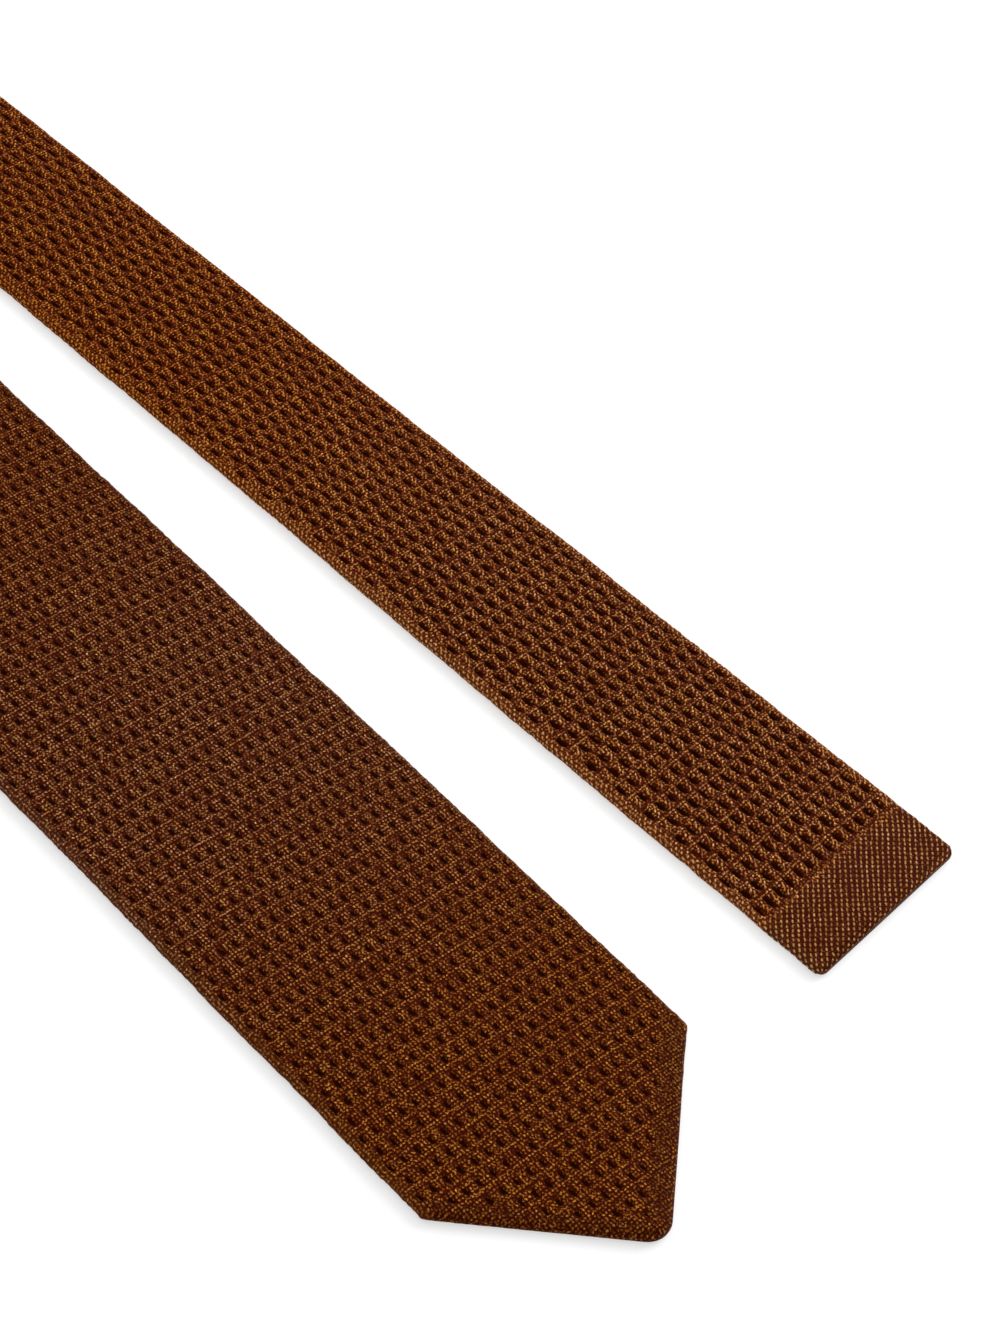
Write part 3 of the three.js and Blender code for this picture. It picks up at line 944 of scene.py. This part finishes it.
def blend_loops_group():
    """The open repeat and the plain one as one height, with fibres on top and a tone that wanders."""
    tree, given, out = new_group(
        "loops together",
        {
            "Map": ("NodeSocketVector", None),
            "Plain": ("NodeSocketFloat", 0.0),
            "Open Height": ("NodeSocketFloat", 0.5),
            "Plain Height": ("NodeSocketFloat", 0.5),
            "Cell Tone": ("NodeSocketFloat", 0.5),
            "Looseness": ("NodeSocketFloat", 1.0),
        },
        {
            "Height": "NodeSocketFloat", "Tone": "NodeSocketFloat", "Hue": "NodeSocketFloat",
            "Fibre": "NodeSocketFloat",
        },
    )
    fibre = add_node(
        tree, "ShaderNodeTexNoise", {"Vector": given["Map"], "Scale": FIBRE_SCALE, "Detail": 1.0},
        noise_dimensions="2D",
    )
    filament = add_node(
        tree, "ShaderNodeTexVoronoi",
        {"Vector": given["Map"], "Scale": FLECK_SCALE, "Randomness": FLECK_RANDOMNESS},
        voronoi_dimensions="2D", feature="F1",
    )
    draw = add_node(tree, "ShaderNodeSeparateColor", {0: filament.outputs["Color"]})
    chosen = add_node(
        tree, "ShaderNodeMix",
        {"Factor": given["Plain"], "A": given["Open Height"], "B": given["Plain Height"]},
    )
    speck = blend_range(tree, filament.outputs["Distance"], *FLECK_FADE, 1.0, 0.0)
    speck_height = blend_range(tree, draw.outputs[1], 0, 1, LOWEST_FLECK, 1.0)
    raised_speck = calculate(tree, "MULTIPLY", speck, speck_height)
    loose_speck = calculate(tree, "MULTIPLY", raised_speck, given["Looseness"])
    under = calculate(tree, "MULTIPLY", loose_speck, FLECK_HEIGHT)
    gap = calculate(tree, "MULTIPLY", calculate(tree, "SUBTRACT", 1.0, speck), given["Looseness"])
    unbroken = calculate(tree, "MULTIPLY_ADD", gap, FLECK_GAP, 1.0)
    over = calculate(tree, "MULTIPLY", chosen.outputs[0], unbroken)
    strand = blend_range(tree, fibre.outputs["Fac"], *FIBRE_SPREAD, kind="LINEAR")
    height = calculate(tree, "MULTIPLY", calculate(tree, "MAXIMUM", under, over), strand)
    cell_tone = calculate(tree, "MULTIPLY", given["Cell Tone"], CELL_TONE_SHARE)
    tone = calculate(tree, "MULTIPLY_ADD", draw.outputs[0], 1 - CELL_TONE_SHARE, cell_tone)
    tree.links.new(height, out["Height"])
    tree.links.new(tone, out["Tone"])
    tree.links.new(draw.outputs[2], out["Hue"])
    tree.links.new(fibre.outputs["Fac"], out["Fibre"])
    return tree


def mix_colour(tree, share, first, second, kind="MIX"):
    return add_node(
        tree, "ShaderNodeMix", {0: share, 6: first, 7: second}, data_type="RGBA", blend_type=kind
    ).outputs[2]


# Painted shade for the whole tie, between the loops and in the holes, and the tints that the silk's
# parts are multiplied by, among them painted shade on low loops and on the blade's plain edges
GAP_SHADE_COLOUR = (0.036, 0.0028, 0.0006, 1)
HOLE_SHADE_COLOUR = (0.014, 0.0016, 0.0005, 1)
NO_TINT = (1, 1, 1, 1)
LOW_LOOP_SHADE = (1, 0.84, 0.5, 1)
WARM_TINT = (0.98, 0.78, 0.3, 1)
BLADE_TINT = (0.84, 0.88, 1.04, 1)
BLADE_EDGE_SHADE = (0.66, 0.71, 1.0, 1)
TAIL_TINT = (1, 1, 0.93, 1)

# How the silk lies round a hole, with painted shadow beside it, and on a folded edge, with painted light
RIM_PALENESS = 0.6
RIM_GAP_PALENESS = 0.15
HOLE_SHADOW = 0.28
HOLE_SHADOW_FADE = (-0.8, 0.3)
HOLE_RAGGEDNESS = 0.4
LOOP_OVER_HOLE = -0.25
HOLE_FADE = (0.05, 0.5)
LOW_LOOP_FADE = (0.35, 0.95)
GAP_FADE = (0.05, 0.85)


def silk_group():
    """Silk's colour, with painted light and shade in it: a painted highlight on the crests of its loops,
    painted shade between them and in the holes.
    """
    tree, given, out = new_group(
        "silk colour",
        {
            "Height": ("NodeSocketFloat", 0.5),
            "Tone": ("NodeSocketFloat", 0.5),
            "Opening": ("NodeSocketFloat", -1.0),
            "Ragged": ("NodeSocketFloat", 0.5),
            # Dark and Hole are painted shade; Light and Pale are the yarn's colour with painted
            # highlights
            "Dark": ("NodeSocketColor", GAP_SHADE_COLOUR),
            "Middle": ("NodeSocketColor", (0.2, 0.08, 0.02, 1)),
            "Light": ("NodeSocketColor", (0.45, 0.2, 0.06, 1)),
            "Pale": ("NodeSocketColor", (0.45, 0.25, 0.14, 1)),
            "Hue": ("NodeSocketFloat", 0.5),
            "Hole": ("NodeSocketColor", HOLE_SHADE_COLOUR),
            "Hole Strength": ("NodeSocketFloat", 1.0),
            "Rim": ("NodeSocketFloat", 0.0),
            "Warmth": ("NodeSocketFloat", 0.0),
            "Tailward": ("NodeSocketFloat", 1.0),
            "Plain": ("NodeSocketFloat", 0.0),
        },
        {"Color": "NodeSocketColor", "Open": "NodeSocketFloat"},
    )
    # Painted highlight: the loops' crests get the light and pale colours, for lit, shining silk
    crest = mix_colour(tree, given["Hue"], given["Light"], given["Pale"])
    lit = mix_colour(tree, given["Tone"], given["Middle"], crest)
    # Painted light: the folded edges are painted paler, towards the pale colour
    lit = mix_colour(tree, calculate(tree, "MULTIPLY", given["Rim"], RIM_PALENESS), lit, given["Pale"])
    # Painted shade: loops and parts of loops that lie low are made darker and redder than the crests
    deep = mix_colour(tree, 1.0, lit, LOW_LOOP_SHADE, kind="MULTIPLY")
    lit = mix_colour(tree, blend_range(tree, given["Height"], *LOW_LOOP_FADE), deep, lit)
    # Painted light on the folded edges also lifts the painted shade between the loops there
    rim_lit_gap = calculate(tree, "MULTIPLY", given["Rim"], RIM_GAP_PALENESS)
    gap = mix_colour(tree, rim_lit_gap, given["Dark"], given["Middle"])
    # Painted shade: where the loops lie low, between them, the silk gets the dark gap colour
    raised = mix_colour(tree, blend_range(tree, given["Height"], *GAP_FADE), gap, lit)
    edge = calculate(tree, "MULTIPLY_ADD", given["Ragged"], HOLE_RAGGEDNESS, given["Opening"])
    edge = calculate(tree, "MULTIPLY_ADD", given["Height"], LOOP_OVER_HOLE, edge)
    open_here = blend_range(tree, edge, *HOLE_FADE)
    open_here = calculate(tree, "MULTIPLY", open_here, given["Hole Strength"], clamp=True)
    beside_hole = blend_range(tree, given["Opening"], *HOLE_SHADOW_FADE)
    sunk = calculate(tree, "MULTIPLY", beside_hole, given["Hole Strength"])
    shaded = mix_colour(tree, calculate(tree, "MULTIPLY", sunk, HOLE_SHADOW), raised, given["Dark"])
    # Painted shade: the holes are painted near black, for the dark inside the openings of the knit
    colour = mix_colour(tree, open_here, shaded, given["Hole"])
    tint = mix_colour(tree, given["Warmth"], NO_TINT, WARM_TINT)
    # Painted shade: on the blade the plain margins are multiplied darker, for edges that curve down away
    # from the light
    bladeward = mix_colour(tree, given["Plain"], BLADE_TINT, BLADE_EDGE_SHADE)
    shade = mix_colour(tree, given["Tailward"], bladeward, TAIL_TINT)
    colour = mix_colour(tree, 1.0, colour, tint, kind="MULTIPLY")
    colour = mix_colour(tree, 1.0, colour, shade, kind="MULTIPLY")
    tree.links.new(colour, out["Color"])
    tree.links.new(open_here, out["Open"])
    return tree


OPEN_REPEAT_SIZES = dict(width=HOLE_PITCH, height=ROW_HEIGHT, row_shift=ROW_SHIFT, start=HOLE_PITCH / 2)
BLADE_REPEAT = repeat_group("blade repeat", BLADE_LOOPS, **OPEN_REPEAT_SIZES)
TAIL_REPEAT = repeat_group("tail repeat", TAIL_LOOPS, **OPEN_REPEAT_SIZES)
PLAIN_REPEAT = repeat_group("plain repeat", PLAIN_LOOPS, PLAIN_WALE, PLAIN_COURSE, PLAIN_WALE / 2, 0.0)
LOOPS = blend_loops_group()
SILK = silk_group()


def place_group(tree, group, inputs):
    return add_node(tree, "ShaderNodeGroup", inputs, node_tree=group).outputs


def read_attribute(tree, name):
    return add_node(tree, "ShaderNodeAttribute", attribute_name=name).outputs["Fac"]


# How far the loops wander, how plain the blade's edges are, and how strongly the silk shines
OPEN_UNEVENNESS = 0.34
PLAIN_UNEVENNESS = 0.2
BLADE_PLAINNESS = 0.4
ROUGHNESS = (0.55, 0.9)
SHINE = 0.03
SHINE_TINT = (0.85, 0.42, 0.16, 1)
RELIEF = 0.35


def silk_knit(name, hole_strength, looseness, middle, light, pale):
    """A knit silk with the blade's repeat of loops at one end and the tail's at the other."""
    material = bpy.data.materials.new(name)
    material.use_nodes = True
    tree = material.node_tree
    shader = tree.nodes["Principled BSDF"]
    place = add_node(tree, "ShaderNodeUVMap", uv_map="knit").outputs[0]
    tailward = read_attribute(tree, "tailward")
    blade_loops = place_group(tree, BLADE_REPEAT, {"Map": place, "Unevenness": OPEN_UNEVENNESS})
    tail_loops = place_group(tree, TAIL_REPEAT, {"Map": place, "Unevenness": OPEN_UNEVENNESS})
    plain_loops = place_group(tree, PLAIN_REPEAT, {"Map": place, "Unevenness": PLAIN_UNEVENNESS})
    open_height = add_node(
        tree, "ShaderNodeMix",
        {"Factor": tailward, "A": blade_loops["Height"], "B": tail_loops["Height"]},
    ).outputs[0]
    plain = read_attribute(tree, "plain")
    plainness = blend_range(tree, tailward, 0, 1, BLADE_PLAINNESS, 1)
    loops = place_group(tree, LOOPS, {
        "Map": place, "Plain": calculate(tree, "MULTIPLY", plain, plainness),
        "Open Height": open_height, "Plain Height": plain_loops["Height"],
        "Cell Tone": tail_loops["Cell Tone"], "Looseness": looseness,
    })
    silk = place_group(tree, SILK, {
        "Height": loops["Height"], "Tone": loops["Tone"], "Ragged": loops["Fibre"], "Hue": loops["Hue"],
        "Opening": read_attribute(tree, "opening"), "Hole Strength": hole_strength,
        "Middle": (*middle, 1), "Light": (*light, 1), "Pale": (*pale, 1), "Tailward": tailward,
        "Warmth": read_attribute(tree, "warmth"), "Rim": read_attribute(tree, "rim"), "Plain": plain,
    })
    tree.links.new(silk["Color"], shader.inputs["Base Color"])
    rough = blend_range(tree, silk["Open"], 0, 1, *ROUGHNESS)
    tree.links.new(rough, shader.inputs["Roughness"])
    shader.inputs["Specular IOR Level"].default_value = SHINE
    shader.inputs["Specular Tint"].default_value = SHINE_TINT
    raised = add_node(
        tree, "ShaderNodeBump", {"Height": loops["Height"], "Strength": 1.0, "Distance": RELIEF * MM}
    )
    tree.links.new(raised.outputs["Normal"], shader.inputs["Normal"])
    return material


# middle is the yarn's own colour; light and pale are the yarn's colour with painted highlights, used on
# the loops' crests and, as painted light, on the folded edges
OPENWORK_SILK = silk_knit(
    "openwork silk", hole_strength=1.0, looseness=0.85,
    middle=(0.34, 0.095, 0.018), light=(0.96, 0.49, 0.13), pale=(0.94, 0.5, 0.29),
)
PLAIN_SILK = silk_knit(
    "end band silk", hole_strength=0.0, looseness=0.45,
    middle=(0.18, 0.06, 0.016), light=(0.6, 0.34, 0.11), pale=(0.58, 0.335, 0.21),
)


# The four pieces

def finish_piece(piece, node, material):
    piece.data.materials.append(material)
    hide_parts(node)
    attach(piece, "root")


def make_tie():
    blade = blade_stations()
    neck = neck_stations()
    tail = tail_stations()
    band = band_stations()
    finish_piece(
        make_knit("blade_knit", blade, BACK_STEP), "wide_blade", OPENWORK_SILK,
    )
    finish_piece(
        make_knit("neck_knit", neck, NECK_BACK_STEP), "neckband", OPENWORK_SILK,
    )
    finish_piece(
        make_knit("tail_knit", tail, BACK_STEP), "narrow_tail", OPENWORK_SILK,
    )
    finish_piece(
        make_knit("end_band_knit", band, BACK_STEP, BAND_RELIEF), "tail_end_band",
        PLAIN_SILK,
    )


make_tie()


# The table, the light and the camera

# Sizes and places of the table and the light are in metres
FLOOR_SIZE = 12
FLOOR_DROP = 0.0001
TABLE_GREY = (0.42, 0.42, 0.42, 1)
TABLE_GLOW = 0.52
WHITE = (1, 1, 1, 1)
KEY_LIGHT_PLACE = (1.65, -0.3, 1.15)
KEY_LIGHT_AIM = (0, -0.15, 0)
KEY_LIGHT_SIZE = 1.5
KEY_LIGHT_WATTS = 33
WORLD_STRENGTH = 0.98


def lay_table():
    bpy.ops.object.select_all(action="DESELECT")
    bpy.ops.mesh.primitive_plane_add(size=FLOOR_SIZE, location=(0, 0, -FLOOR_DROP))
    table = bpy.context.object
    table.name = "table"
    white = bpy.data.materials.new("white table")
    white.use_nodes = True
    shader = white.node_tree.nodes["Principled BSDF"]
    shader.inputs["Base Color"].default_value = TABLE_GREY
    shader.inputs["Emission Color"].default_value = WHITE
    shader.inputs["Emission Strength"].default_value = TABLE_GLOW
    shader.inputs["Roughness"].default_value = 0.9
    shader.inputs["Specular IOR Level"].default_value = 0.1
    table.data.materials.append(white)


# How the camera looks down at the tie, in degrees, and where it stands, in millimetres
LOOK_BEARING = 49.74
LOOK_DOWN = 46.93
CAMERA_ROLL = 9.25
CAMERA_PLACE = (-338.6, -555.66, 518.7)
LENS = 97.74
SENSOR = 36


def place_camera():
    data = bpy.data.cameras.new("camera")
    data.lens = LENS
    data.sensor_width = SENSOR
    data.sensor_fit = "AUTO"
    data.clip_start = 0.01
    data.clip_end = 50
    camera = bpy.data.objects.new("camera", data)
    bpy.context.scene.collection.objects.link(camera)
    turn = (
        Matrix.Rotation(math.radians(-LOOK_BEARING), 4, "Z")
        @ Matrix.Rotation(math.radians(90 - LOOK_DOWN), 4, "X")
        @ Matrix.Rotation(math.radians(CAMERA_ROLL), 4, "Z")
    )
    camera.matrix_world = Matrix.Translation(Vector(CAMERA_PLACE) * MM) @ turn
    bpy.context.scene.camera = camera


def add_key_light():
    data = bpy.data.lights.new("key light", "AREA")
    data.shape = "DISK"
    data.size = KEY_LIGHT_SIZE
    data.energy = KEY_LIGHT_WATTS
    light = bpy.data.objects.new("key light", data)
    bpy.context.scene.collection.objects.link(light)
    light.location = KEY_LIGHT_PLACE
    towards = Vector(KEY_LIGHT_AIM) - Vector(KEY_LIGHT_PLACE)
    light.rotation_euler = towards.to_track_quat("-Z", "Y").to_euler()


def add_studio_light():
    world = bpy.data.worlds.new("studio")
    world.use_nodes = True
    background = world.node_tree.nodes["Background"]
    background.inputs["Color"].default_value = WHITE
    background.inputs["Strength"].default_value = WORLD_STRENGTH
    bpy.context.scene.world = world
    bpy.context.scene.view_settings.view_transform = "Standard"


lay_table()
place_camera()
add_key_light()
add_studio_light()
